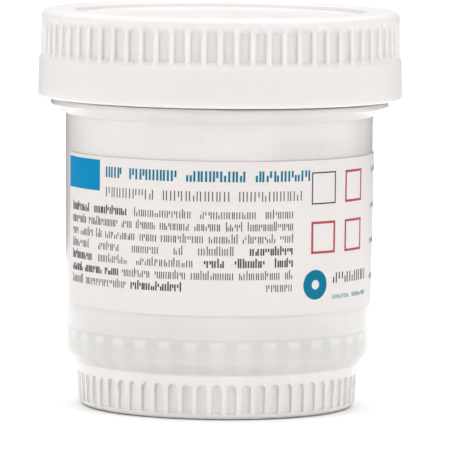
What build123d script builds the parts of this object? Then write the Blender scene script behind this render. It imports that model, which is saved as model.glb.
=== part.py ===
from build123d import *
from math import cos, degrees, pi, radians, sin
import os

# A small moulded specimen jar: a translucent jar with a fluted foot, a ribbed
# screw lid with its sealing liner, and a printed label wrapped round the wall.
# Millimetres and degrees. The jar stands on z = 0 with its axis on Z. The
# middle of the label's front faces -Y, and azimuth turns from there towards +X.

# Jar: heights above the table
foot_height = 7.4
shoulder_rise = 2.2
floor_underside = 11.2
floor_thickness = 1.2
body_height = 49.8
flare_height = 1.65
collar_height = 0.95
neck_height = 11.8

# Jar: the body's radius, then the steps, drafts and walls that set the others
body_radius = 25.85
body_draft = 0.41
body_wall = 0.95
shoulder_step = 1.8
foot_draft = 0.45
foot_wall = 2.4
neck_step = 0.69
neck_wall = 1.35
collar_overlap = 0.2

# Jar: roundings
foot_round = 1.6
foot_inner_round = 0.3
waist_round = 0.4
shoulder_round = 1.2
floor_round = 1.4
rim_round = 0.4
collar_round = 0.25

# Flutes round the foot ring
foot_flute_count = 60
foot_rib_width = 0.75
foot_flute_depth = 0.35
foot_flute_bottom = 1.1
foot_flute_top_margin = 1.4

# Arched pockets cored into the underside, with gussets left between them
pocket_count = 36
gusset_width = 1.2
pocket_wall = 1.45
pocket_height = 2.9
pocket_roof = 0.2
gate_radius = 1.6
gate_drop = 0.4

# Screw thread, two starts, right-handed
thread_starts = 2
thread_lead = 8.46
thread_depth = 1.15
thread_base_width = 2.0
thread_crest_width = 1.0
thread_root_overlap = 0.3
thread_clearance = 0.5
thread_axial_gap = 0.15
jar_thread_arc = 200.0
jar_thread_drop = 2.5
lid_thread_arc = 150.0
lid_thread_delay = 25.0

# Lid
lid_gap = 0.3
liner_thickness = 1.0
liner_gap = 0.3
lid_plate = 1.4
stack_recess_depth = 0.9
stack_recess_clearance = 0.55
stack_recess_slope = 0.3
lid_wall = 1.4
lid_entry_chamfer = 0.4
skirt_height = 6.5
skirt_wall = 2.4
skirt_draft = 0.15
grip_ledge = 0.2
grip_draft = 0.2
grip_step = 0.3
lid_top_round = 1.2
lid_edge_round = 0.3

# Grip flutes round the lid
lid_flute_count = 70
lid_rib_width = 0.8
lid_flute_top_margin = 1.2
lid_flute_scoop = 0.8
cutter_reach = 1.5

# Label, wrapped over the jar's wall. It starts to the left of the front.
label_bottom = 17.8
label_height = 25.8
label_start = -33.2
label_width = 105.1
label_glue = 0.03
label_film = 0.15
label_corner = 2.4
print_film = 0.12

# Printed panel, heading and second line, placed from the label's left edge
panel_start = 0.15
panel_width = 10.6
panel_height = 5.2
panel_margin = 0.6
heading_gap = 1.45
heading_end_gap = 0.3
heading_height = 1.6
heading_drop = 3.3
heading_words = 4
subtitle_inset = 1.4
subtitle_height = 1.1
subtitle_drop = 5.8
subtitle_words = 3

# Rows of small print, as plain bars with no letters
row_start = 1.8
row_width = 44.4
row_height = 0.9
row_pitch = 2.04
row_drop = 9.45
row_words = (6, 8, 7, 5, 6, 7)
last_row_width = 25.4
last_row_words = 4
code_width = 4.9
word_lengths = (7, 9, 4, 8, 5, 6, 3)
word_gap = 0.7

# Square boxes, a disc with two bars, and write-in fields
box_gap = 3.5
box_side = 5.4
box_pitch = 8.0
box_row_pitch = 8.3
box_drop = 7.4
box_line = 0.45
disc_inset = 1.0
disc_rise = 4.9
disc_radius = 2.5
emblem_gap = 1.4
emblem_bar_width = 11.0
emblem_bar_height = 1.8
emblem_bar_gap = 0.9
field_gap = 5.1
field_caption_width = 6.0
field_line_gap = 1.5
field_line_margin = 2.4
field_line_height = 0.3
field_drop = 3.0
field_pitch = 6.1
field_count = 4

shoulder_height = foot_height + shoulder_rise
foot_flute_top = foot_height - foot_flute_top_margin
floor_top = floor_underside + floor_thickness
collar_top = body_height + flare_height + collar_height
rim_height = collar_top + neck_height

foot_top_radius = body_radius - shoulder_step
foot_radius = foot_top_radius - foot_draft
foot_bore_radius = foot_radius - foot_wall
body_top_radius = body_radius + body_draft
cavity_floor_radius = body_radius - body_wall
cavity_top_radius = body_top_radius - body_wall
neck_radius = body_top_radius + neck_step
neck_bore_radius = neck_radius - neck_wall

lid_bottom = collar_top + lid_gap
plate_underside = rim_height + liner_thickness
recess_floor = plate_underside + lid_plate
lid_top = recess_floor + stack_recess_depth
lid_bore_radius = neck_radius + thread_depth + thread_clearance
collar_radius = lid_bore_radius + collar_overlap
grip_floor_radius = lid_bore_radius + lid_wall
skirt_radius = lid_bore_radius + skirt_wall
skirt_top_radius = skirt_radius - skirt_draft
grip_radius = skirt_top_radius - grip_ledge
grip_top_radius = grip_radius - grip_draft
skirt_top = lid_bottom + skirt_height
stack_recess_radius = foot_top_radius + stack_recess_clearance

thread_start_height = rim_height - jar_thread_drop - thread_lead * jar_thread_arc / 360
thread_offset = (thread_base_width + thread_crest_width) / 2 + thread_axial_gap

label_top = label_bottom + label_height
heading_start = panel_start + panel_width + heading_gap
box_start = row_start + row_width + box_gap
heading_width = box_start - heading_start - heading_end_gap
subtitle_width = heading_width - subtitle_inset
code_start = row_start + row_width - code_width
disc_place = box_start + disc_inset
disc_drop = label_height - disc_rise
emblem_bar_start = disc_place + disc_radius + emblem_gap
field_start = box_start + box_pitch + box_side + field_gap
field_line_start = field_start + field_caption_width + field_line_gap
field_line_width = label_width - field_line_start - field_line_margin


def wall_radius(z):
    """Outer radius of the jar's drafted body wall at height z."""
    rise = (z - shoulder_height) / (body_height - shoulder_height)
    return body_radius + (body_top_radius - body_radius) * rise


def radial_plane(azimuth):
    """Plane through the jar's axis: local x points outwards, local y up."""
    turn = radians(azimuth)
    outwards = (sin(turn), -cos(turn), 0)
    return Plane(origin=(0, 0, 0), x_dir=outwards, z_dir=(-cos(turn), -sin(turn), 0))


def azimuth_at(place, height):
    """Azimuth of a place measured round the wall from the label's left edge."""
    return degrees((label_start + place) / wall_radius(height))


def corner(profile, radius, height):
    """Corner of a half-section that lies nearest to a radius and a height."""
    return profile.vertices().sort_by_distance((radius, height))[0]


def wall_band(low, high, inner_lift, outer_lift, start, arc, mode=Mode.ADD):
    """Thin piece of the drafted wall's surface, between two heights."""
    with BuildSketch(radial_plane(start)) as section:
        Polygon(
            (wall_radius(low) + inner_lift, low),
            (wall_radius(low) + outer_lift, low),
            (wall_radius(high) + outer_lift, high),
            (wall_radius(high) + inner_lift, high),
            align=None,
        )
    revolve(section.sketch, axis=Axis.Z, revolution_arc=arc, mode=mode)


def printed_patch(start, width, drop, height, mode=Mode.ADD):
    """Rectangle of print. start runs from the label's left edge, drop down from its top."""
    face = label_glue + label_film
    low = label_top - drop
    middle = low + height / 2
    wall_band(
        low,
        low + height,
        face,
        face + print_film,
        azimuth_at(start, middle),
        degrees(width / wall_radius(middle)),
        mode,
    )


def printed_words(start, width, drop, height, count, first=0):
    """Row of bars, uneven as words are, that fills a width."""
    lengths = [word_lengths[(first + word) % len(word_lengths)] for word in range(count)]
    unit = (width - (count - 1) * word_gap) / sum(lengths)
    place = start
    for length in lengths:
        printed_patch(place, length * unit, drop, height)
        place += length * unit + word_gap


def printed_box(column, row):
    """Outline of a square, one of a grid."""
    start = box_start + column * box_pitch
    drop = box_drop + row * box_row_pitch
    inner = box_side - 2 * box_line
    printed_patch(start, box_side, drop, box_side)
    printed_patch(start + box_line, inner, drop - box_line, inner, Mode.SUBTRACT)


def thread_ridge(root_radius, depth, first_angle, arc, height):
    """One helical ridge. A negative depth points inwards, into a lid."""
    outward = 1 if depth > 0 else -1
    root = root_radius - outward * thread_root_overlap
    crest = root_radius + depth
    flank = (thread_base_width - thread_crest_width) / 2 / abs(depth)
    root_half = thread_base_width / 2 + flank * thread_root_overlap
    crest_half = thread_crest_width / 2
    with BuildPart() as ridge:
        with BuildLine() as path:
            Helix(
                pitch=thread_lead,
                height=thread_lead * arc / 360,
                radius=root_radius,
                center=(0, 0, height),
            )
        with BuildSketch(Plane.XZ):
            Polygon(
                (root, height - root_half),
                (crest, height - crest_half),
                (crest, height + crest_half),
                (root, height + root_half),
                align=None,
            )
        sweep(path=path.line, is_frenet=True)
    return ridge.part.rotate(Axis.Z, first_angle)


# Jar
with BuildPart() as foot_flute_cutter:
    foot_flute_width = 2 * pi * foot_radius / foot_flute_count - foot_rib_width
    with BuildSketch(Plane.YZ.offset(foot_radius - foot_flute_depth)):
        with Locations((0, foot_flute_bottom)):
            Rectangle(
                foot_flute_width,
                foot_flute_top - foot_flute_width / 2 - foot_flute_bottom,
                align=(Align.CENTER, Align.MIN),
            )
        with Locations((0, foot_flute_top - foot_flute_width / 2)):
            Circle(foot_flute_width / 2)
    extrude(amount=cutter_reach)

with BuildPart() as pocket_cutter:
    pocket_width = 2 * pi * foot_bore_radius / pocket_count - gusset_width
    pocket_top = floor_underside - pocket_roof
    pocket_bottom = pocket_top - pocket_height
    with BuildSketch(Plane.YZ):
        with Locations((0, pocket_bottom)):
            Rectangle(
                pocket_width,
                pocket_height - pocket_width / 2,
                align=(Align.CENTER, Align.MIN),
            )
        with Locations((0, pocket_top - pocket_width / 2)):
            Circle(pocket_width / 2)
    extrude(amount=body_radius)
    with BuildSketch(Plane.XZ):
        Polygon(
            (foot_bore_radius - cutter_reach, pocket_bottom),
            (foot_bore_radius, pocket_bottom),
            (foot_top_radius - pocket_wall, foot_height),
            (body_radius - pocket_wall, shoulder_height),
            (body_radius - pocket_wall, pocket_top),
            (foot_bore_radius - cutter_reach, pocket_top),
            align=None,
        )
    extrude(amount=pocket_width, both=True, mode=Mode.INTERSECT)

jar_ridges = [
    thread_ridge(
        neck_radius,
        thread_depth,
        360 * start / thread_starts,
        jar_thread_arc,
        thread_start_height,
    )
    for start in range(thread_starts)
]

with BuildPart() as jar:
    with BuildSketch(Plane.XZ) as jar_profile:
        with BuildLine():
            Polyline(
                (foot_bore_radius, 0),
                (foot_radius, 0),
                (foot_top_radius, foot_height),
                (body_radius, shoulder_height),
                (body_top_radius, body_height),
                (collar_radius, body_height + flare_height),
                (collar_radius, collar_top),
                (neck_radius, collar_top),
                (neck_radius, rim_height),
                (neck_bore_radius, rim_height),
                (neck_bore_radius, collar_top),
                (cavity_top_radius, body_height),
                (cavity_floor_radius, floor_top),
                (0, floor_top),
                (0, floor_underside),
                (foot_bore_radius, floor_underside),
                close=True,
            )
        make_face()
        fillet(corner(jar_profile, foot_radius, 0), foot_round)
        fillet(corner(jar_profile, foot_bore_radius, 0), foot_inner_round)
        fillet(corner(jar_profile, foot_top_radius, foot_height), waist_round)
        fillet(corner(jar_profile, body_radius, shoulder_height), shoulder_round)
        fillet(corner(jar_profile, cavity_floor_radius, floor_top), floor_round)
        fillet(corner(jar_profile, collar_radius, collar_top), collar_round)
        fillet(corner(jar_profile, collar_radius, body_height + flare_height), collar_round)
        fillet(corner(jar_profile, neck_radius, rim_height), rim_round)
        fillet(corner(jar_profile, neck_bore_radius, rim_height), rim_round)
    revolve(axis=Axis.Z)
    with PolarLocations(0, foot_flute_count):
        add(foot_flute_cutter.part, mode=Mode.SUBTRACT)
    with PolarLocations(0, pocket_count):
        add(pocket_cutter.part, mode=Mode.SUBTRACT)
    with BuildSketch(Plane.XY.offset(floor_underside - gate_drop)):
        Circle(gate_radius)
    extrude(amount=gate_drop + floor_thickness / 2)
    add(jar_ridges)
jar.part.label = "jar"

# Liner, the soft disc that the lid presses on the rim
with BuildPart() as liner:
    with BuildSketch(Plane.XY.offset(rim_height)):
        Circle(lid_bore_radius - liner_gap)
    extrude(amount=liner_thickness)
liner.part.label = "liner"

# Lid
with BuildPart() as lid_flute_cutter:
    lid_flute_width = 2 * pi * grip_floor_radius / lid_flute_count - lid_rib_width
    lid_flute_top = lid_top - lid_flute_top_margin
    with BuildSketch(Plane.XZ):
        Polygon(
            (grip_floor_radius, lid_flute_top),
            (grip_floor_radius, skirt_top + lid_flute_scoop),
            (grip_floor_radius + cutter_reach, skirt_top + lid_flute_scoop - cutter_reach),
            (grip_floor_radius + cutter_reach, lid_flute_top),
            align=None,
        )
    extrude(amount=lid_flute_width / 2, both=True)
    with BuildSketch(Plane.YZ.offset(grip_floor_radius)):
        with Locations((0, lid_flute_top - lid_flute_width / 2)):
            Circle(lid_flute_width / 2)
            Rectangle(
                lid_flute_width,
                lid_top - lid_bottom,
                align=(Align.CENTER, Align.MAX),
            )
    extrude(amount=cutter_reach, mode=Mode.INTERSECT)

lid_ridges = [
    thread_ridge(
        lid_bore_radius,
        -thread_depth,
        360 * start / thread_starts + lid_thread_delay,
        lid_thread_arc,
        thread_start_height - thread_offset + thread_lead * lid_thread_delay / 360,
    )
    for start in range(thread_starts)
]

with BuildPart() as lid:
    with BuildSketch(Plane.XZ) as lid_profile:
        with BuildLine():
            Polyline(
                (lid_bore_radius + lid_entry_chamfer, lid_bottom),
                (skirt_radius, lid_bottom),
                (skirt_top_radius, skirt_top),
                (grip_radius, skirt_top + grip_step),
                (grip_top_radius, lid_top),
                (stack_recess_radius + stack_recess_slope, lid_top),
                (stack_recess_radius, recess_floor),
                (0, recess_floor),
                (0, plate_underside),
                (lid_bore_radius, plate_underside),
                (lid_bore_radius, lid_bottom + lid_entry_chamfer),
                close=True,
            )
        make_face()
        fillet(corner(lid_profile, grip_top_radius, lid_top), lid_top_round)
        fillet(corner(lid_profile, skirt_radius, lid_bottom), lid_edge_round)
        fillet(corner(lid_profile, stack_recess_radius + stack_recess_slope, lid_top), lid_edge_round)
    revolve(axis=Axis.Z)
    with PolarLocations(0, lid_flute_count):
        add(lid_flute_cutter.part, mode=Mode.SUBTRACT)
    add(lid_ridges)
lid.part.label = "lid"

# Label film
with BuildPart() as label:
    wall_band(
        label_bottom,
        label_top,
        label_glue,
        label_glue + label_film,
        azimuth_at(0, label_bottom + label_height / 2),
        degrees(label_width / wall_radius(label_bottom + label_height / 2)),
    )
    corner_edges = label.edges().filter_by(lambda edge: edge.length < 2 * label_film)
    fillet(corner_edges.filter_by(GeomType.LINE), label_corner)
label.part.label = "label"

# Print on the label, one piece of ink for each colour
with BuildPart() as label_print_blue:
    printed_patch(panel_start, panel_width, panel_height + panel_margin, panel_height)
label_print_blue.part.label = "label_print_blue"

with BuildPart() as label_print_teal:
    wall_band(
        label_bottom,
        label_top,
        label_glue + label_film,
        label_glue + label_film + print_film,
        azimuth_at(disc_place - 2 * disc_radius, label_bottom),
        degrees(4 * disc_radius / wall_radius(label_bottom)),
    )
    disc_plane = Plane(
        origin=(0, 0, label_top - disc_drop),
        x_dir=(0, 0, 1),
        z_dir=radial_plane(azimuth_at(disc_place, label_bottom)).x_dir,
    )
    with BuildSketch(disc_plane):
        Circle(disc_radius)
    extrude(amount=collar_radius, mode=Mode.INTERSECT)
    printed_words(heading_start, heading_width, heading_drop, heading_height, heading_words)
    printed_patch(
        emblem_bar_start,
        emblem_bar_width,
        disc_drop + emblem_bar_height / 2 + emblem_bar_gap,
        row_height,
    )
label_print_teal.part.label = "label_print_teal"

with BuildPart() as label_print_dark:
    printed_words(heading_start, subtitle_width, subtitle_drop, subtitle_height, subtitle_words, 1)
    for row, words in enumerate(row_words):
        printed_words(row_start, row_width, row_drop + row * row_pitch, row_height, words, row)
    last_drop = row_drop + len(row_words) * row_pitch
    printed_words(row_start, last_row_width, last_drop, row_height, last_row_words)
    printed_patch(code_start, code_width, last_drop, row_height)
    printed_patch(emblem_bar_start, emblem_bar_width, disc_drop, emblem_bar_height)
    printed_box(0, 0)
    for field in range(field_count):
        drop = field_drop + field * field_pitch
        printed_patch(field_start, field_caption_width, drop, row_height)
        printed_patch(field_line_start, field_line_width, drop, field_line_height)
label_print_dark.part.label = "label_print_dark"

with BuildPart() as label_print_red:
    for column, row in ((1, 0), (0, 1), (1, 1)):
        printed_box(column, row)
label_print_red.part.label = "label_print_red"

os.makedirs("parts", exist_ok=True)
for piece in (
    jar,
    liner,
    lid,
    label,
    label_print_blue,
    label_print_teal,
    label_print_dark,
    label_print_red,
):
    export_step(piece.part, f"parts/{piece.part.label}.step")
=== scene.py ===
"""A small moulded specimen jar: its finishes, its label and print, and a plain studio."""

import random
from math import atan2, cos, hypot, pi, radians, sin

import bmesh
import bpy
from bpy.props import FloatProperty, FloatVectorProperty, IntProperty, PointerProperty
from mathutils import Matrix, Vector


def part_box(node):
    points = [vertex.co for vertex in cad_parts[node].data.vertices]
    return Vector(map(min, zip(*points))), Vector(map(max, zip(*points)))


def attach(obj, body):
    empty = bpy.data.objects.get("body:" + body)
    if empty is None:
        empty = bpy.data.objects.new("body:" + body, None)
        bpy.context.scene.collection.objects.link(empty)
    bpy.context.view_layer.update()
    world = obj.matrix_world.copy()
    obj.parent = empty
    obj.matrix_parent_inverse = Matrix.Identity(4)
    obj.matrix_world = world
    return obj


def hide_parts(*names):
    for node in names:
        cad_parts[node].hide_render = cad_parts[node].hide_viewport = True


bl_info = {
    "name": "Specimen Jar",
    "version": (1, 0, 0),
    "blender": (4, 5, 0),
    "location": "View3D > Sidebar > Specimen Jar",
    "description": "Builds the finishes, label and studio of a moulded specimen jar",
    "category": "Add Mesh",
}

MM = 0.001
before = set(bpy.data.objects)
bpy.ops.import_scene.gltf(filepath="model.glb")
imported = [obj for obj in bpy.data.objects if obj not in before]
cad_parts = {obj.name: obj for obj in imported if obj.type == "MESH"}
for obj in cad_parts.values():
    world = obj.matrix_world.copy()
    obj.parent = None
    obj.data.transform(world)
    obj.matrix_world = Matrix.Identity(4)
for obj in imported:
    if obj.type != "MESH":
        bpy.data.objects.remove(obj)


def length(name, description, default):
    """A size in metres, given here in millimetres."""
    return FloatProperty(
        name=name, description=description, default=default * MM, unit="LENGTH", precision=5
    )


def amount(name, description, default):
    """A plain number."""
    return FloatProperty(name=name, description=description, default=default, precision=4)


def share(name, description, default):
    """A number from 0 to 1."""
    return FloatProperty(
        name=name, description=description, default=default, min=0, max=1, subtype="FACTOR"
    )


def angle(name, description, default):
    """An angle, given here in degrees."""
    return FloatProperty(
        name=name, description=description, default=radians(default), subtype="ANGLE"
    )


def colour(name, description, default):
    """A linear RGB colour."""
    return FloatVectorProperty(
        name=name, description=description, default=default, size=3, min=0, max=1, subtype="COLOR"
    )


def count(name, description, default):
    """A whole number."""
    return IntProperty(name=name, description=description, default=default, min=1)


def foot_of(node):
    """Height of a CAD node's lowest point, in millimetres."""
    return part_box(node)[0][2] / MM


def top_of(node):
    """Height of a CAD node's highest point, in millimetres."""
    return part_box(node)[1][2] / MM


class JarSettings(bpy.types.PropertyGroup):
    """The jar: a thin wall of natural, milky polypropylene."""

    tint: colour("Tint", "Colour of the light that the plastic lets through", (0.98, 0.977, 0.974))
    milk: colour("Milk", "Colour of the plastic's haze", (0.97, 0.93, 0.895))
    haze: share("Haze", "How much of the thin wall is milky", 0.74)
    thick_haze: share("Thick Haze", "How much of the fluted foot is milky", 0.9)
    band_haze: share("Band Haze", "How much of the band round the floor is milky", 0.67)
    # Painted light: haze that makes soft bright spots over the pockets, as light seen through them
    pocket_painted_light: share("Pocket Painted Light", "Haze that paints light seen through the pockets in the band", 0.025)
    # Painted highlight: more haze, so paler tops, over the pockets
    crown_painted_highlight: share("Crown Painted Highlight", "Haze that paints highlights on the tops of the pockets", 0.08)
    # Painted shade: a thin line of less haze, so darker, along the floor's edge
    floor_painted_shade: share("Floor Painted Shade", "Haze taken away to paint a dark line of shade at the floor's edge", 0.08)
    # Painted shade: less haze above the wall, so the band under the lid shows darker
    neck_painted_shade: share("Neck Painted Shade", "Haze taken away above the wall to paint the band under the lid darker, as shade", 0.04)
    glow: share("Glow", "How much of the haze lets light through", 0.06)
    absorption: amount("Absorption", "Light lost in each metre of plastic", 45.0)
    roughness: share("Roughness", "Roughness of the moulded surface", 0.15)
    foot_radius: length("Foot Radius", "Outside radius of the foot ring", 24.05)
    foot_skin: length("Foot Skin", "Depth of the foot's hazy layer", 1.3)
    wall_radius: length("Wall Radius", "Outside radius of the wall just above the shoulder", 25.85)
    wall_top_radius: length("Wall Top Radius", "Outside radius of the wall's top", 26.26)
    wall_skin: length("Wall Skin", "Depth of the wall's hazy layer", 0.45)
    band_height: length("Band Height", "Height of the band in which the floor shows", 13.5)
    # Height of the band of painted highlight at the pockets' tops
    crown_highlight_height: length("Crown Highlight Height", "Height of the painted highlights on the pockets' tops", 1.8)
    pockets: count("Pockets", "Number of pockets under the floor", 36)
    seam_height: length("Seam Height", "Height of the fluted foot's top", 7.4)
    shoulder_height: length("Shoulder Height", "Height of the shoulder", 9.6)
    wall_height: length("Wall Height", "Height of the wall's top", 49.8)


class LinerSettings(bpy.types.PropertyGroup):
    """The soft disc in the lid that seals on the jar's rim."""

    radius: length("Radius", "Outside radius of the disc", 28.3)
    underside: length("Underside", "Height of the face that meets the rim", foot_of("liner"))
    thickness: length("Thickness", "Thickness of the disc", 1.0)
    edge: length("Edge", "Rounding of the disc's edge", 0.12)
    foam: colour("Foam", "Colour of the foam", (0.8, 0.79, 0.76))


class LidSettings(bpy.types.PropertyGroup):
    """The screw lid, with its band of grip ribs."""

    bottom: length("Bottom", "Height of the skirt's lower edge", foot_of("lid"))
    top: length("Top", "Height of the lid's top", top_of("lid"))
    ledge: length("Ledge", "Height at which the plain skirt ends", 59.2)
    ledge_rise: length("Ledge Rise", "Height of the step from the skirt to the ribs", 0.3)
    skirt_radius: length("Skirt Radius", "Radius at the skirt's lower edge", 31.0)
    skirt_top_radius: length("Skirt Top Radius", "Radius at the ledge", 30.85)
    rib_radius: length("Rib Radius", "Radius over the ribs, at their foot", 30.65)
    rib_top_radius: length("Rib Top Radius", "Radius over the ribs, at the lid's top", 30.45)
    groove_radius: length("Groove Radius", "Radius at the bottom of the grooves", 30.0)
    groove_top: length("Groove Top", "Height at which the grooves end", 66.5)
    run_out: length("Run Out", "Height over which the grooves fade at their tops", 1.5)
    arch: length("Arch", "Drop of each groove's top from its middle to its sides", 0.5)
    sill: length("Sill", "Height of the grooves' feet over the ledge", 0.2)
    sill_arch: length("Sill Arch", "Rise of each groove's foot from its middle to its sides", 0.3)
    scoop: length("Scoop", "Height of the sloped foot of each groove", 0.87)
    scoop_slope: amount("Scoop Slope", "Radius gained by each unit of the slope's depth", 0.75)
    rib_width: length("Rib Width", "Width of one rib", 0.8)
    rib_softness: length("Rib Softness", "Rounding of the ribs' edges", 0.16)
    ribs: count("Ribs", "Number of ribs round the lid", 70)
    top_round: length("Top Round", "Rounding of the lid's top edge", 1.2)
    recess_radius: length("Recess Radius", "Radius of the stacking recess", 24.6)
    recess_depth: length("Recess Depth", "Depth of the stacking recess", 0.9)
    recess_slope: length("Recess Slope", "Slope of the recess's wall", 0.3)
    bore_radius: length("Bore Radius", "Inside radius of the skirt", 28.6)
    plate_underside: length("Plate Underside", "Height of the inside of the top", 65.2)
    thread_depth: length("Thread Depth", "How far the thread stands in from the wall", 1.15)
    thread_lead: length("Thread Lead", "Rise of the thread in one turn", 8.46)
    thread_start: length("Thread Start", "Height at which each thread begins", 55.94)
    thread_angle: angle("Thread Angle", "Angle that each thread covers", 150.0)
    thread_turn: angle("Thread Turn", "Angle at which the first thread begins", 25.0)
    thread_starts: count("Thread Starts", "Number of threads", 2)
    plastic: colour("Plastic", "Colour of the lid's plastic", (0.72, 0.698, 0.69))
    roughness: share("Roughness", "Roughness of the lid's surface", 0.42)


class LabelSettings(bpy.types.PropertyGroup):
    """The printed film wrapped over the jar's wall."""

    left: length("Left", "Place of the left edge, round the wall from the front", -33.2)
    width: length("Width", "Width of the film, round the wall", 105.1)
    bottom: length("Bottom", "Height of the film's lower edge", foot_of("label"))
    height: length("Height", "Height of the film", top_of("label") - foot_of("label"))
    glue: length("Glue", "Gap from the wall to the film", 0.03)
    film: length("Film", "Thickness of the film", 0.15)
    corner: length("Corner", "Rounding of the film's corners", 2.4)
    ink: length("Ink", "Height of the print over the film", 0.03)
    paper: colour("Paper", "Colour of the film", (0.715, 0.68, 0.665))
    blue: colour("Blue", "Colour of the panel", (0.0, 0.22, 0.45))
    teal: colour("Teal", "Colour of the heading", (0.004, 0.17, 0.27))
    dark: colour("Dark", "Colour of the small print", (0.06, 0.06, 0.065))
    red: colour("Red", "Colour of the boxes", (0.42, 0.075, 0.085))


class StageSettings(bpy.types.PropertyGroup):
    """The floor, the lights and the camera."""

    floor_size: amount("Floor Size", "Side of the floor, in metres", 9.0)
    floor_colour: colour("Floor Colour", "Colour of the floor", (0.95, 0.95, 0.95))
    sky: amount("Sky", "Strength of the light from overhead", 0.62)
    horizon: amount("Horizon", "Strength of the light from the sides", 0.2)
    key_power: amount("Key Power", "Power of the overhead softbox, in watts", 76.0)
    left_power: amount("Left Power", "Power of the softbox on the left, in watts", 5.0)
    right_power: amount("Right Power", "Power of the softbox on the right, in watts", 5.0)
    left_flag: length("Left Flag", "Place of the dark card on the left", -350.0)
    right_flag: length("Right Flag", "Place of the dark card on the right", 390.0)
    flag_distance: length("Flag Distance", "How far the dark cards stand behind the jar", 250.0)
    flag_height: length("Flag Height", "Height of a dark card's middle, and half its side", 300.0)
    lens: amount("Lens", "Focal length, in millimetres", 446.64)
    distance: length("Distance", "Distance from the camera to the jar's axis", 949.0)
    height: length("Height", "Height of the camera", 116.9)
    offset: length("Offset", "How far the camera stands to the right", 1.1)
    tilt: angle("Tilt", "How far the camera looks down", 5.19)
    roll: angle("Roll", "How far the camera is rolled", 0.65)


class SpecimenJarSettings(bpy.types.PropertyGroup):
    """All the settings of the specimen jar."""

    jar: PointerProperty(type=JarSettings)
    liner: PointerProperty(type=LinerSettings)
    lid: PointerProperty(type=LidSettings)
    label: PointerProperty(type=LabelSettings)
    stage: PointerProperty(type=StageSettings)


class Value:
    """A shader socket with arithmetic: each operation adds a Math node."""

    def __init__(self, finish, socket):
        self.finish = finish
        self.socket = socket

    def math(self, operation, first, second=0.0, clamp=False):
        settings = {"operation": operation, "use_clamp": clamp}
        return self.finish.node("ShaderNodeMath", settings, {0: first, 1: second})

    def __add__(self, other):
        return self.math("ADD", self, other)

    def __sub__(self, other):
        return self.math("SUBTRACT", self, other)

    def __rsub__(self, other):
        return self.math("SUBTRACT", other, self)

    def __mul__(self, other):
        return self.math("MULTIPLY", self, other)

    def __truediv__(self, other):
        return self.math("DIVIDE", self, other)

    def __rtruediv__(self, other):
        return self.math("DIVIDE", other, self)

    def __gt__(self, other):
        return self.math("GREATER_THAN", self, other)

    __radd__ = __add__
    __rmul__ = __mul__

    def size(self):
        """The value without its sign."""
        return self.math("ABSOLUTE", self)

    def cosine(self):
        return self.math("COSINE", self)

    def clamped(self):
        """The value held between 0 and 1."""
        return self.math("ADD", self, 0.0, clamp=True)

    def ramp(self, start, reach):
        """0 up to start, and from there to 1 over a reach."""
        return ((self - start) / reach).clamped()


class Finish:
    """One material, and the nodes that make it."""

    def __init__(self, name):
        self.material = bpy.data.materials.new(name)
        self.material.use_nodes = True
        self.tree = self.material.node_tree
        self.tree.nodes.clear()

    def node(self, kind, settings=None, sockets=None, output=0):
        """A node of a type, with its settings and the values or links of its sockets."""
        made = self.tree.nodes.new(kind)
        for name, value in (settings or {}).items():
            setattr(made, name, value)
        for name, value in (sockets or {}).items():
            if isinstance(value, Value):
                self.tree.links.new(value.socket, made.inputs[name])
            elif hasattr(value, "__len__") and len(made.inputs[name].default_value) == 4:
                made.inputs[name].default_value = (*value, 1.0)
            else:
                made.inputs[name].default_value = value
        return Value(self, made.outputs[output])

    def place(self, scale=(1.0, 1.0, 1.0)):
        """Object coordinates, stretched."""
        coordinates = self.node("ShaderNodeTexCoord", output="Object")
        return self.node("ShaderNodeMapping", None, {"Vector": coordinates, "Scale": scale})

    def axis(self, name):
        """The distance along X, Y or Z, in metres."""
        place = self.node("ShaderNodeTexCoord", output="Object")
        return self.node("ShaderNodeSeparateXYZ", None, {0: place}, name)

    def turn(self):
        """The angle round the Z axis, in radians."""
        across = {0: self.axis("Y"), 1: self.axis("X")}
        return self.node("ShaderNodeMath", {"operation": "ARCTAN2"}, across)

    def beyond(self, radius):
        """1 further than a radius from the Z axis, and 0 nearer."""
        flat = {"Vector": self.node("ShaderNodeTexCoord", output="Object"), "Scale": (1, 1, 0)}
        level = self.node("ShaderNodeMapping", {"vector_type": "VECTOR"}, flat)
        away = self.node("ShaderNodeVectorMath", {"operation": "LENGTH"}, {0: level}, "Value")
        return away > radius

    def noise(self, scale, detail=2.0, stretch=(1.0, 1.0, 1.0)):
        """Cloudy noise, from 0 to 1."""
        sockets = {"Vector": self.place(stretch), "Scale": scale, "Detail": detail}
        return self.node("ShaderNodeTexNoise", None, sockets, "Fac")

    def blend(self, factor, low, high):
        """A colour between two colours."""
        sockets = {"Factor": factor, 6: low, 7: high}
        return self.node("ShaderNodeMix", {"data_type": "RGBA"}, sockets, 2)

    def mottled(self, factor, base, change):
        """A colour that gets darker and lighter by a share."""
        return self.blend(factor, tuned(base, 1 - change), tuned(base, 1 + change))

    def bump(self, height, distance):
        """A surface normal from a height."""
        return self.node("ShaderNodeBump", None, {"Height": height, "Distance": distance})

    def principled(self, sockets):
        """A Principled BSDF."""
        return self.node("ShaderNodeBsdfPrincipled", None, sockets)

    def surface(self, shader, volume=None):
        """Ends the material with its shader."""
        end = self.tree.nodes.new("ShaderNodeOutputMaterial")
        self.tree.links.new(shader.socket, end.inputs["Surface"])
        if volume:
            self.tree.links.new(volume.socket, end.inputs["Volume"])
        return self.material


def tuned(base, change):
    """A colour made lighter or darker by a factor."""
    return tuple(min(1.0, channel * change) for channel in base)


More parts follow.
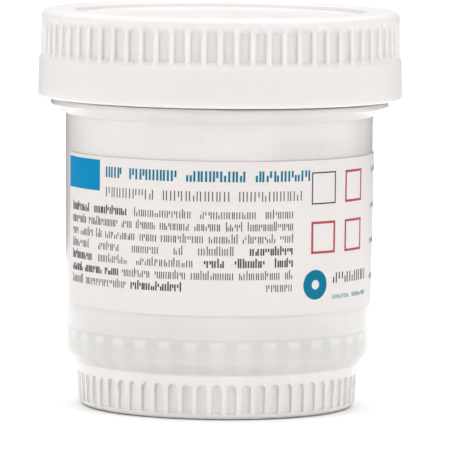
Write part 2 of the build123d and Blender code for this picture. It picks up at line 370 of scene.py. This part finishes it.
def milkiness(finish, settings, flow):
    """How hazy the jar is, with painted light and shade round its floor and above its wall. The
    wall's inner face is clear, so that the haze counts once.
    """
    blend, fade, edge = 0.4 * MM, 0.6 * MM, 0.35 * MM
    crown_fade, neck_fade = 0.8 * MM, 0.5 * MM
    height = finish.axis("Z")
    foot = settings.foot_radius - settings.foot_skin
    wall = settings.wall_radius - settings.wall_skin
    shoulder = height.ramp(settings.seam_height, settings.shoulder_height - settings.seam_height)
    outside = finish.beyond(shoulder * (wall - foot) + foot)
    walled = height.ramp(settings.seam_height, blend)
    band = walled * (1.0 - height.ramp(settings.band_height - fade, fade))
    # Painted shade: a thin line of less haze, so darker, along the floor's edge
    floor_edge = (1.0 - (height - settings.band_height).size() / edge).clamped()
    # Painted shade: less haze above the wall, so the band under the lid shows darker
    neck = height.ramp(settings.wall_height, neck_fade)
    # Painted highlight: the pockets' tops get more haze, so they show paler
    crown = height.ramp(settings.band_height - settings.crown_highlight_height, crown_fade)
    # Painted light: more haze, so soft bright spots, over each pocket, as light seen through it
    pocket = ((finish.turn() * settings.pockets).cosine() * 0.9 + flow * 0.8 + 0.1).clamped()
    pocket = (crown * settings.crown_painted_highlight + settings.pocket_painted_light) * pocket
    haze = (1.0 - walled) * (settings.thick_haze - settings.haze) + settings.haze
    haze = haze + band * (pocket + (settings.band_haze - settings.haze))
    haze = haze - floor_edge * settings.floor_painted_shade - neck * settings.neck_painted_shade
    return ((haze + flow * 0.1 - 0.05) * outside).clamped()


def natural_plastic(settings):
    """Milky polypropylene: clear enough to show what is behind it, with faint flow marks."""
    finish = Finish("natural_polypropylene")
    flow = finish.noise(90.0, 3.0, (1.0, 1.0, 0.25))
    grain = finish.noise(2600.0, 2.0)
    normal = finish.bump(flow * 0.7 + grain * 0.3, 0.00006)
    rough = flow * 0.08 + grain * 0.05 + (settings.roughness - 0.065)
    clear = finish.principled(
        {
            "Base Color": finish.mottled(flow, settings.tint, 0.02),
            "Roughness": rough,
            "IOR": 1.49,
            "Transmission Weight": 1.0,
            "Normal": normal,
        }
    )
    skin = finish.principled(
        {
            "Base Color": finish.mottled(flow, settings.milk, 0.03),
            "Roughness": rough,
            "IOR": 1.49,
            "Specular IOR Level": 0.3,
            "Subsurface Weight": 0.4,
            "Subsurface Radius": (1.0, 0.97, 0.94),
            "Subsurface Scale": 0.0024,
            "Normal": normal,
        }
    )
    lit = {"Color": settings.milk, "Normal": normal}
    glow = finish.node("ShaderNodeBsdfTranslucent", None, lit)
    cloud = finish.node("ShaderNodeMixShader", None, {0: settings.glow, 1: skin, 2: glow})
    haze = milkiness(finish, settings, flow)
    grey = 0.5
    body = {"Color": (grey, grey, grey), "Density": settings.absorption / (1 - grey)}
    return finish.surface(
        finish.node("ShaderNodeMixShader", None, {0: haze, 1: clear, 2: cloud}),
        finish.node("ShaderNodeVolumeAbsorption", None, body),
    )


def lid_plastic(settings):
    """Opaque white polypropylene with a satin face."""
    finish = Finish("white_lid_plastic")
    cloud = finish.noise(60.0, 3.0)
    grain = finish.noise(3200.0, 2.0)
    shader = finish.principled(
        {
            "Base Color": finish.mottled(cloud, settings.plastic, 0.015),
            "Roughness": cloud * 0.08 + grain * 0.06 + (settings.roughness - 0.07),
            "IOR": 1.49,
            "Specular IOR Level": 0.4,
            "Subsurface Weight": 0.7,
            "Subsurface Radius": (1.0, 0.95, 0.9),
            "Subsurface Scale": 0.0018,
            "Normal": finish.bump(grain * 0.5 + cloud * 0.5, 0.00004),
        }
    )
    return finish.surface(shader)


def liner_foam(settings):
    """Fine closed-cell foam, darker towards the walls of its cells."""
    finish = Finish("closed_cell_foam")
    grid = {"Vector": finish.place(), "Scale": 2400.0}
    cells = finish.node("ShaderNodeTexVoronoi", None, grid, "Distance")
    cloud = finish.noise(200.0)
    pale, dark = tuned(settings.foam, 1.05), tuned(settings.foam, 0.9)
    shader = finish.principled(
        {
            "Base Color": finish.blend(cells, pale, dark),
            "Roughness": cloud * 0.15 + 0.7,
            "Normal": finish.bump(cells, 0.00008),
        }
    )
    return finish.surface(shader)


def label_film(settings):
    """White satin film: faint mottling, and a slight orange peel over the glue."""
    finish = Finish("satin_label_film")
    cloud = finish.noise(140.0, 3.0)
    peel = finish.noise(900.0, 2.0)
    fibre = finish.noise(5200.0, 2.0)
    shader = finish.principled(
        {
            "Base Color": finish.mottled(cloud, settings.paper, 0.02),
            "Roughness": cloud * 0.12 + fibre * 0.08 + 0.34,
            "Coat Weight": 0.15,
            "Coat Roughness": 0.3,
            "Normal": finish.bump(peel * 0.7 + fibre * 0.3, 0.00003),
        }
    )
    return finish.surface(shader)


def ink(name, shade):
    """Printed ink with the slight unevenness of a press."""
    finish = Finish(name)
    mottle = finish.noise(1800.0, 3.0)
    cloud = finish.noise(200.0)
    shader = finish.principled(
        {
            "Base Color": finish.mottled(mottle, shade, 0.15),
            "Roughness": cloud * 0.15 + mottle * 0.1 + 0.42,
            "Specular IOR Level": 0.05,
            "Normal": finish.bump(mottle, 0.00002),
        }
    )
    return finish.surface(shader)


def meshed(name, shape):
    """Ends a bmesh as a mesh."""
    mesh = bpy.data.meshes.new(name)
    shape.to_mesh(mesh)
    shape.free()
    return mesh


def placed(name, mesh, material):
    """An object made of a mesh and one material."""
    mesh.materials.append(material)
    made = bpy.data.objects.new(name, mesh)
    bpy.context.scene.collection.objects.link(made)
    return made


def piece(name, shape, body, slot, material, nodes, sharp=40.0):
    """Turns a bmesh into an object that rides on a body and stands for CAD nodes."""
    mesh = meshed(name, shape)
    mesh.shade_smooth()
    mesh.set_sharp_from_angle(angle=radians(sharp))
    made = placed(name, mesh, material)
    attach(made, body)
    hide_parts(*nodes)
    return made


def turned(profile, steps, sweep=2 * pi):
    """A bmesh turned about the Z axis from (radius, height) points."""
    shape = bmesh.new()
    ring = [shape.verts.new((radius, 0, height)) for radius, height in profile]
    edges = [shape.edges.new(pair) for pair in zip(ring, ring[1:])]
    if profile[0][0] > 0 and profile[-1][0] > 0:
        edges.append(shape.edges.new((ring[-1], ring[0])))
    bmesh.ops.spin(
        shape,
        geom=ring + edges,
        cent=(0, 0, 0),
        axis=(0, 0, 1),
        angle=sweep,
        steps=steps,
        use_merge=sweep == 2 * pi,
    )
    return shape


def repeated(shape, copies):
    """Copies a wedge round the Z axis until it closes, and joins the seams."""
    bmesh.ops.spin(
        shape,
        geom=shape.verts[:] + shape.edges[:] + shape.faces[:],
        cent=(0, 0, 0),
        axis=(0, 0, 1),
        angle=2 * pi * (copies - 1) / copies,
        steps=copies - 1,
        use_duplicate=True,
    )
    return shape


def closed(shape):
    """Merges doubled points and turns the faces outwards."""
    bmesh.ops.remove_doubles(shape, verts=shape.verts, dist=2e-6)
    bmesh.ops.dissolve_degenerate(shape, edges=shape.edges, dist=1e-7)
    bmesh.ops.recalc_face_normals(shape, faces=shape.faces)
    return shape


def rounded(start, turn, end, radius, steps):
    """Points of a fillet at turn, between the lines to start and to end."""
    corner = Vector(turn)
    first = (Vector(start) - corner).normalized()
    last = (Vector(end) - corner).normalized()
    half = first.angle(last) / 2
    reach = radius / sin(half) * cos(half)
    centre = corner + (first + last).normalized() * (radius / sin(half))
    begin = (corner + first * reach - centre).normalized()
    end = (corner + last * reach - centre).normalized()
    return [tuple(centre + begin.slerp(end, step / steps) * radius) for step in range(steps + 1)]


def smooth(low, high, value):
    """Smooth step from 0 at low to 1 at high."""
    t = min(1.0, max(0.0, (value - low) / (high - low)))
    return t * t * (3 - 2 * t)


def threads(lid):
    """The lid's helical threads, with tapered ends, that stand in from its bore, as a mesh."""
    radius, depth, start = lid.bore_radius, lid.thread_depth, lid.thread_start
    sweep, rise = lid.thread_angle, lid.thread_lead * lid.thread_angle / (2 * pi)
    base, crest, root = 1.0 * MM, 0.5 * MM, 0.2 * MM
    steps, taper_share = 90, 0.08
    section = (
        (radius + root, -base),
        (radius - depth, -crest),
        (radius - depth, crest),
        (radius + root, base),
    )
    shape = bmesh.new()
    shape.faces.new([shape.verts.new((out, 0, start + up)) for out, up in section])
    bmesh.ops.spin(
        shape,
        geom=shape.verts[:] + shape.edges[:] + shape.faces[:],
        cent=(0, 0, 0),
        axis=(0, 0, 1),
        dvec=(0, 0, rise / steps),
        angle=sweep,
        steps=steps,
    )
    for vert in shape.verts:
        spot = vert.co
        along = (atan2(spot.y, spot.x) % (2 * pi)) / sweep
        if along > 1.5:  # The first points, where rounding gave nearly a full turn
            along = 0.0
        taper = smooth(0.0, taper_share, along) * (1 - smooth(1 - taper_share, 1.0, along))
        out = hypot(spot.x, spot.y)
        if out < radius:
            flat = Vector((spot.x, spot.y, 0)).normalized()
            vert.co = flat * (radius - (radius - out) * taper) + Vector((0, 0, spot.z))
    bmesh.ops.rotate(shape, verts=shape.verts, matrix=Matrix.Rotation(lid.thread_turn, 3, "Z"))
    closed(shape)
    repeated(shape, lid.thread_starts)
    return meshed("threads", shape)


class SPECIMEN_OT_jar(bpy.types.Operator):
    """Gives the moulded jar its milky plastic"""

    bl_idname = "specimen_jar.finish_jar"
    bl_label = "Finish Jar"

    def execute(self, context):
        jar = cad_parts["jar"]
        jar.material_slots[0].material = natural_plastic(context.scene.specimen_jar.jar)
        return {"FINISHED"}


class SPECIMEN_OT_liner(bpy.types.Operator):
    """Builds the lid's foam liner, with the ring that the rim presses in it"""

    bl_idname = "specimen_jar.build_liner"
    bl_label = "Build Liner"

    def execute(self, context):
        liner = context.scene.specimen_jar.liner
        low, high = liner.underside, liner.underside + liner.thickness
        out, edge = liner.radius, liner.edge
        rim_print = ((25.2, 0.0), (25.6, 0.06), (26.27, 0.1), (26.9, 0.06), (27.3, 0.0))
        profile = [(0, low), *((spot * MM, low + dip * MM) for spot, dip in rim_print)]
        profile += rounded((0, low), (out, low), (out, high), edge, 4)
        profile += rounded((out, low), (out, high), (0, high), edge, 4)
        profile.append((0, high))
        shape = closed(turned(profile, 144))
        piece("liner_disc", shape, "liner", "liner_foam", liner_foam(liner), ["liner"])
        return {"FINISHED"}


class SPECIMEN_OT_lid(bpy.types.Operator):
    """Builds the ribbed lid, with its stacking recess and its threads"""

    bl_idname = "specimen_jar.build_lid"
    bl_label = "Build Lid"

    def execute(self, context):
        lid = context.scene.specimen_jar.lid
        # Columns of points from the middle of a groove to the next one's, close at the rib's edges
        half = (0.11, 0.22, 0.318, 0.333, 0.348, 0.363, 0.44)
        columns = (0.0, *half, 0.5, *(1 - spot for spot in reversed(half)), 1.0)
        pitch = 2 * pi / lid.ribs
        shape = turned(self.profile(lid), len(columns) - 1, pitch)
        for vert in shape.verts:
            spot = vert.co
            out = hypot(spot.x, spot.y)
            column = columns[round(atan2(spot.y, spot.x) / pitch * (len(columns) - 1))]
            if lid.ledge < spot.z and out > lid.groove_radius:
                side = min(column, 1 - column) * lid.groove_radius * pitch
                out = self.grooved(lid, out, side, spot.z)
            vert.co = (out * cos(column * pitch), out * sin(column * pitch), spot.z)
        repeated(shape, lid.ribs)
        closed(shape)
        thread = threads(lid)
        shape.from_mesh(thread)
        bpy.data.meshes.remove(thread)
        piece("lid_shell", shape, "lid", "lid_plastic", lid_plastic(lid), ["lid"], 60.0)
        return {"FINISHED"}

    def grooved(self, lid, out, side, height):
        """The radius of a point of the rib band, pressed in where the nearest groove reaches it."""
        groove = lid.groove_radius * 2 * pi / lid.ribs - lid.rib_width
        across = (2 * side / groove) ** 2
        cut = 1 - smooth(-lid.rib_softness / 2, lid.rib_softness / 2, side - groove / 2)
        top = lid.groove_top - lid.arch * across
        cut *= 1 - smooth(top - lid.run_out, top, height)
        low = lid.ledge + lid.sill + lid.sill_arch * across
        slope = lid.groove_radius + max(0.0, low + lid.scoop - height) * lid.scoop_slope
        return out + (min(out, slope) - out) * cut

    def profile(self, lid):
        """Half-section of the lid from the middle of its top, round the outside, to the inside."""
        recess_round, lip_round, shelf_round, step_round = 0.35 * MM, 0.3 * MM, 0.08 * MM, 0.1 * MM
        hem_round, roof_round = 0.35 * MM, 0.3 * MM
        floor_height = lid.top - lid.recess_depth
        land = (lid.recess_radius + lid.recess_slope, lid.top)
        crown = (lid.rib_top_radius, lid.top)
        shelf = (lid.rib_radius, lid.ledge + lid.ledge_rise)
        step = (lid.skirt_top_radius, lid.ledge)
        hem = (lid.skirt_radius, lid.bottom)
        mouth = (lid.bore_radius, lid.bottom)
        roof = (lid.bore_radius, lid.plate_underside)
        points = [(0, floor_height), (lid.recess_radius / 2, floor_height)]
        recess = (lid.recess_radius, floor_height)
        points += rounded(points[-1], recess, land, recess_round, 4)
        points += rounded(recess, land, crown, lip_round, 4)
        points += rounded(land, crown, shelf, lid.top_round, 9)
        points += self.rib_rows(lid, points[-1][1], shelf[1])
        points += rounded(crown, shelf, step, shelf_round, 2)
        points += rounded(shelf, step, hem, step_round, 3)
        points += rounded(step, hem, mouth, hem_round, 5)
        points += rounded(hem, mouth, roof, hem_round, 3)
        points += rounded(mouth, roof, (0, lid.plate_underside), roof_round, 3)
        points += [(lid.bore_radius / 2, lid.plate_underside), (0, lid.plate_underside)]
        return points

    def rib_rows(self, lid, high, shelf):
        """Points down the ribs, in close rows where the grooves begin and end."""
        pitch, sparse, margin = 0.1 * MM, 10, 0.12 * MM
        close_above, close_below = lid.groove_top - 2.1 * MM, lid.ledge + 1.6 * MM
        points = []
        for row in range(1, round((high - shelf) / pitch)):
            height = high - pitch * row
            close = height > close_above or height < close_below
            if height > shelf + margin and (close or round(height / pitch) % sparse == 0):
                t = (height - shelf) / (lid.top - shelf)
                out = lid.rib_radius + (lid.rib_top_radius - lid.rib_radius) * t
                points.append((out, height))
        return points


class Wrap:
    """Flat artwork in metres, x to the right and z up, laid over the jar's drafted wall."""

    flat = 0.6 * MM  # Longest stretch that isn't bent
    joined = 1e-6  # Corners this near are one point

    def __init__(self, jar, label):
        self.jar = jar
        self.label = label
        self.shape = bmesh.new()
        self.cells = []

    def radius(self, height):
        jar = self.jar
        rise = (height - jar.shoulder_height) / (jar.wall_height - jar.shoulder_height)
        return jar.wall_radius + (jar.wall_top_radius - jar.wall_radius) * rise

    def bar(self, left, drop, width, height):
        """Notes a rectangle of ink, placed by its upper left corner from the label's."""
        steps = max(1, round(width / self.flat))
        for step in range(steps):
            near, far = left + width * step / steps, left + width * (step + 1) / steps
            self.cells.append((near, far, -drop - height, -drop))

    def drawn(self):
        """Draws the rectangles, each from one cell of a strip, and joins those that meet."""
        bmesh.ops.create_grid(self.shape, x_segments=len(self.cells), y_segments=1, size=0.5)
        strip = self.shape.faces[:]
        bmesh.ops.split_edges(self.shape, edges=self.shape.edges)
        for face, (near, far, low, high) in zip(strip, self.cells):
            middle = face.calc_center_median()
            for vert in face.verts:
                right, upper = vert.co.x > middle.x, vert.co.y > middle.y
                vert.co = (far if right else near, 0, high if upper else low)
        bmesh.ops.remove_doubles(self.shape, verts=self.shape.verts, dist=self.joined)

    def ring(self, left, drop, inner, outer):
        """A ring of ink."""
        rings = 4
        spots = [inner + (outer - inner) * step / rings for step in range(rings + 1)]
        verts = [self.shape.verts.new((left + spot, 0, -drop)) for spot in spots]
        edges = [self.shape.edges.new(pair) for pair in zip(verts, verts[1:])]
        bmesh.ops.spin(
            self.shape,
            geom=verts + edges,
            cent=(left, 0, -drop),
            axis=(0, 1, 0),
            angle=2 * pi,
            steps=48,
            use_merge=True,
        )

    def thicken(self, depth):
        """Gives the flat artwork a thickness, outwards."""
        bmesh.ops.recalc_face_normals(self.shape, faces=self.shape.faces)
        flipped = [face for face in self.shape.faces if face.normal.y > 0]
        bmesh.ops.reverse_faces(self.shape, faces=flipped)
        self.shape.normal_update()
        grown = bmesh.ops.extrude_face_region(self.shape, geom=list(self.shape.faces))
        fresh = [item for item in grown["geom"] if isinstance(item, bmesh.types.BMVert)]
        bmesh.ops.translate(self.shape, verts=fresh, vec=(0, -depth, 0))
        bmesh.ops.recalc_face_normals(self.shape, faces=self.shape.faces)

    def laid(self, lift):
        """Wraps the artwork round the wall, lifted off it, and gives the bmesh."""
        label = self.label
        top = label.bottom + label.height
        for vert in self.shape.verts:
            height = top + vert.co.z
            out = self.radius(height)
            turn = (label.left + vert.co.x) / out
            out += lift - vert.co.y
            vert.co = (out * sin(turn), -out * cos(turn), height)
        return self.shape


class SPECIMEN_OT_label(bpy.types.Operator):
    """Builds the label's film, wrapped over the wall"""

    bl_idname = "specimen_jar.build_label"
    bl_label = "Build Label"

    def execute(self, context):
        settings = context.scene.specimen_jar
        label = settings.label
        wrap = Wrap(settings.jar, label)
        width, height = label.width, label.height
        wrap.bar(0, 0, width, height)
        wrap.drawn()
        ends = [
            vert
            for vert in wrap.shape.verts
            if min(abs(vert.co.x), abs(vert.co.x - width)) < wrap.joined
            and min(abs(vert.co.z), abs(vert.co.z + height)) < wrap.joined
        ]
        bmesh.ops.bevel(
            wrap.shape,
            geom=ends,
            offset=label.corner,
            affect="VERTICES",
            segments=8,
            profile=0.5,
            material=-1,
        )
        wrap.thicken(label.film)
        shape = wrap.laid(label.glue)
        piece("label_wrap", shape, "jar", "label_film", label_film(label), ["label"], 30.0)
        return {"FINISHED"}


class SPECIMEN_OT_print(bpy.types.Operator):
    """Builds the print: a panel, a heading, rows of strokes that stand for small text, and boxes"""

    bl_idname = "specimen_jar.build_print"
    bl_label = "Build Print"

    # Places are to the right of the label's upper left corner and down from it, in millimetres
    panel = (0.15, 0.6, 10.6, 5.2)
    heading_left, heading_pace = 12.2, 1.28
    text_left, text_drop, text_width = 1.8, 8.0, 44.4
    row_pitch, row_height = 2.04, 1.55
    stroke, pace = 0.145, 0.86
    box_left, box_drop, box_side, box_pitch = 49.7, 2.0, 5.4, (8.0, 8.3)
    ring_left, ring_drop, ring_inner, ring_outer = 50.7, 20.9, 0.8, 2.5
    name_left, name_width = 54.6, 11.0
    field_left, field_drop, field_pitch, fields = 68.2, 2.1, 6.1, 4
    line_left, line_width, line_height, line_drop = 75.7, 27.0, 0.2, 0.6

    # The rows of small print: the lengths of their words, and which of them are heavy
    rows = (
        ((7, 9, 12, 11, 6), (0, 1)),
        ((7, 10, 3, 5, 7, 6, 4, 11), ()),
        ((3, 5, 2, 8, 4, 9, 6, 7, 3), ()),
        ((7, 6, 6, 2, 7, 9), (5,)),
        ((8, 8, 12, 4, 6, 4), (0, 3, 4, 5)),
        ((5, 6, 4, 7, 7, 9, 9, 2), (0, 1, 2)),
    )
    last_row = ((5, 12, 11), (2,))
    last_row_width = 25.4
    code, code_width, code_pace = (6,), 4.9, 0.8

    least_space = 0.75
    heavy_stroke = 1.7
    low_letters = 0.74
    sway = 0.3

    def execute(self, context):
        settings = context.scene.specimen_jar
        label = settings.label
        self.chance = random.Random(7)
        wraps = {name: Wrap(settings.jar, label) for name in ("blue", "teal", "dark", "red")}
        blue, teal, dark, red = wraps.values()
        blue.bar(*(size * MM for size in self.panel))
        at, pace = self.heading_left, self.heading_pace
        self.words(teal, (at, 1.6), (37.2, 1.8), (3, 7, 8, 8), 0.35, pace)
        self.words(dark, (at, 5.0), (35.8, 1.65), (8, 9, 9), 0.16, pace)
        self.small_print(dark)
        for column, row, wrap in ((0, 0, dark), (1, 0, red), (0, 1, red), (1, 1, red)):
            self.box(wrap, column, row, 0.22 if wrap is dark else 0.4)
        self.words(dark, (self.name_left, 19.1), (self.name_width, 1.8), (7,), 0.26, 1.57)
        self.words(teal, (self.name_left, 22.8), (self.name_width, 0.7), (7, 8), 0.1, 0.68)
        for field in range(self.fields):
            drop = self.field_drop + self.field_pitch * field
            self.words(dark, (self.field_left, drop), (5.6, 0.9), (3, 1), 0.06, 1.2)
            line = (self.line_left, drop + self.line_drop, self.line_width, self.line_height)
            dark.bar(*(size * MM for size in line))
        sunk = 0.01 * MM  # How far the ink sinks into the film, so that no gap shows
        for name, wrap in wraps.items():
            wrap.drawn()
            if wrap is teal:
                ring = (self.ring_left, self.ring_drop, self.ring_inner, self.ring_outer)
                wrap.ring(*(size * MM for size in ring))
            wrap.thicken(label.ink + sunk)
            shape = wrap.laid(label.glue + label.film - sunk)
            node = "label_print_" + name
            material = ink(name + "_ink", getattr(label, name))
            piece("print_" + name, shape, "jar", "ink_" + name, material, [node], 30.0)
        return {"FINISHED"}

    def small_print(self, dark):
        """The rows of small print, and the code at the end of the last one."""
        low, drop = self.low_letters, self.text_drop
        for words, heavy in self.rows:
            spot, size = (self.text_left, drop), (self.text_width, self.row_height)
            self.words(dark, spot, size, words, self.stroke, self.pace, heavy, low)
            drop += self.row_pitch
        words, heavy = self.last_row
        spot, size = (self.text_left, drop), (self.last_row_width, self.row_height)
        self.words(dark, spot, size, words, self.stroke, self.pace, heavy, low)
        right = self.text_left + self.text_width
        spot, size = (right - self.code_width, drop), (self.code_width, self.row_height)
        self.words(dark, spot, size, self.code, self.stroke, self.code_pace, (), low)

    def words(self, wrap, spot, size, words, stroke, pace, heavy=(), low=1.0):
        """A row of words as runs of plain upright strokes, spread over a width.

        Most strokes are a low letter's height, and some are taller, hang short or stand short.
        """
        (left, drop), (width, height) = spot, size
        space = (width - sum(words) * pace) / max(1, len(words) - 1)
        if len(words) > 1 and space < self.least_space:
            space = self.least_space
            pace = (width - space * (len(words) - 1)) / sum(words)
        usual, tall = (1 - low, 1), (0, 1)
        hanging, short = (1 - low, 0.62), (1 - low * 0.6, 1)
        for number, letters in enumerate(words):
            thick = stroke * (self.heavy_stroke if number in heavy else 1.0)
            for letter in range(2 * letters):
                near = left + (pace * (letter + self.sway * self.chance.random())) / 2
                top, end = self.chance.choice((usual,) * 5 + (tall, hanging, short))
                bar = (near, drop + top * height, thick, (end - top) * height)
                wrap.bar(*(size * MM for size in bar))
            left += letters * pace + space

    def box(self, wrap, column, row, line):
        """The outline of a square."""
        across, down = self.box_pitch
        left, drop = self.box_left + across * column, self.box_drop + down * row
        side = self.box_side
        spans = ((0.0, line), (line, side - 2 * line), (side - line, line))
        for right, width in spans:
            for below, height in spans:
                if line in (width, height):
                    bar = (left + right, drop + below, width, height)
                    wrap.bar(*(size * MM for size in bar))


class SPECIMEN_OT_stage(bpy.types.Operator):
    """Builds the floor, the soft lights and the camera"""

    bl_idname = "specimen_jar.build_stage"
    bl_label = "Build Stage"

    def execute(self, context):
        stage = context.scene.specimen_jar.stage
        context.scene.view_settings.view_transform = "Standard"
        self.floor(stage)
        self.sky(context.scene, stage)
        upright = (0.5, 0.9)
        self.softbox("overhead_softbox", stage.key_power, (0.0, 0.4, 2.4), (3.0, 3.0))
        self.softbox("left_softbox", stage.left_power, (-1.0, -0.64, 0.45), upright)
        self.softbox("right_softbox", stage.right_power, (0.96, -0.7, 0.45), upright)
        self.flag("left_flag", stage, stage.left_flag)
        self.flag("right_flag", stage, stage.right_flag)
        self.camera(context.scene, stage)
        return {"FINISHED"}

    def floor(self, stage):
        """A pale floor."""
        finish = Finish("stage_floor")
        shader = finish.principled(
            {
                "Base Color": finish.mottled(finish.noise(3.0), stage.floor_colour, 0.005),
                "Roughness": 0.9,
                "Specular IOR Level": 0.1,
            }
        )
        shape = bmesh.new()
        bmesh.ops.create_grid(shape, x_segments=2, y_segments=2, size=stage.floor_size / 2)
        made = placed("stage_floor", meshed("stage_floor", shape), finish.surface(shader))

    def flag(self, name, stage, side):
        """A dark card behind the jar and to one side, seen in its gloss alone, for its edges."""
        finish = Finish(name)
        dark, darker = (0.03, 0.03, 0.03), (0.02, 0.02, 0.02)
        cloth = finish.blend(finish.noise(40.0), darker, dark)
        shader = finish.principled({"Base Color": cloth, "Roughness": 0.9})
        height = stage.flag_height
        spot = Matrix.Translation((side, stage.flag_distance, height))
        upright = spot @ Matrix.Rotation(pi / 2, 4, "X")
        shape = bmesh.new()
        bmesh.ops.create_grid(shape, x_segments=1, y_segments=1, size=height, matrix=upright)
        made = placed(name, meshed(name, shape), finish.surface(shader))
        for ray in ("camera", "diffuse", "shadow"):
            setattr(made, "visible_" + ray, False)

    def sky(self, scene, stage):
        """A soft dome, bright overhead and dimmer towards the sides."""
        world = bpy.data.worlds.new("studio_dome")
        world.use_nodes = True
        tree = world.node_tree
        tree.nodes.clear()
        place = tree.nodes.new("ShaderNodeTexCoord")
        split = tree.nodes.new("ShaderNodeSeparateXYZ")
        span = tree.nodes.new("ShaderNodeMapRange")
        light = tree.nodes.new("ShaderNodeBackground")
        end = tree.nodes.new("ShaderNodeOutputWorld")
        span.interpolation_type = "SMOOTHSTEP"
        span.inputs["From Min"].default_value = 0.05
        span.inputs["From Max"].default_value = 0.75
        span.inputs["To Min"].default_value = stage.horizon
        span.inputs["To Max"].default_value = stage.sky
        tree.links.new(place.outputs["Generated"], split.inputs[0])
        tree.links.new(split.outputs["Z"], span.inputs["Value"])
        tree.links.new(span.outputs[0], light.inputs["Strength"])
        tree.links.new(light.outputs[0], end.inputs["Surface"])
        scene.world = world

    def softbox(self, name, power, spot, size):
        """A rectangular light that faces the jar."""
        light = bpy.data.lights.new(name, "AREA")
        light.shape = "RECTANGLE"
        light.size, light.size_y = size
        light.energy = power
        lamp = bpy.data.objects.new(name, light)
        bpy.context.scene.collection.objects.link(lamp)
        lamp.location = spot
        aim = Vector((0, 0, 0.03)) - Vector(spot)
        lamp.rotation_euler = aim.to_track_quat("-Z", "Y").to_euler()

    def camera(self, scene, stage):
        """A long lens a little above the jar."""
        lens = bpy.data.cameras.new("camera")
        lens.lens = stage.lens
        lens.sensor_width = 36.0
        lens.clip_start, lens.clip_end = 0.05, 20.0
        view = bpy.data.objects.new("camera", lens)
        scene.collection.objects.link(view)
        turn = Matrix.Rotation(pi / 2 - stage.tilt, 4, "X") @ Matrix.Rotation(stage.roll, 4, "Z")
        view.matrix_world = (
            Matrix.Translation((stage.offset, -stage.distance, stage.height)) @ turn
        )
        scene.camera = view


class SPECIMEN_PT_panel(bpy.types.Panel):
    """The specimen jar's tools and settings"""

    bl_idname = "SPECIMEN_PT_panel"
    bl_label = "Specimen Jar"
    bl_space_type = "VIEW_3D"
    bl_region_type = "UI"
    bl_category = "Specimen Jar"

    def draw(self, context):
        settings = context.scene.specimen_jar
        for operator, group in (
            (SPECIMEN_OT_jar, settings.jar),
            (SPECIMEN_OT_liner, settings.liner),
            (SPECIMEN_OT_lid, settings.lid),
            (SPECIMEN_OT_label, settings.label),
            (SPECIMEN_OT_print, None),
            (SPECIMEN_OT_stage, settings.stage),
        ):
            box = self.layout.box()
            box.operator(operator.bl_idname)
            if group:
                for name in group.__annotations__:
                    box.prop(group, name)


CLASSES = (
    JarSettings,
    LinerSettings,
    LidSettings,
    LabelSettings,
    StageSettings,
    SpecimenJarSettings,
    SPECIMEN_OT_jar,
    SPECIMEN_OT_liner,
    SPECIMEN_OT_lid,
    SPECIMEN_OT_label,
    SPECIMEN_OT_print,
    SPECIMEN_OT_stage,
    SPECIMEN_PT_panel,
)


def register():
    for kind in CLASSES:
        bpy.utils.register_class(kind)
    bpy.types.Scene.specimen_jar = PointerProperty(type=SpecimenJarSettings)


def unregister():
    del bpy.types.Scene.specimen_jar
    for kind in reversed(CLASSES):
        bpy.utils.unregister_class(kind)


def main():
    """Builds the whole scene."""
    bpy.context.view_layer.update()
    register()
    tools = bpy.ops.specimen_jar
    tools.finish_jar()
    tools.build_liner()
    tools.build_lid()
    tools.build_label()
    tools.build_print()
    tools.build_stage()


if __name__ == "__main__":
    main()
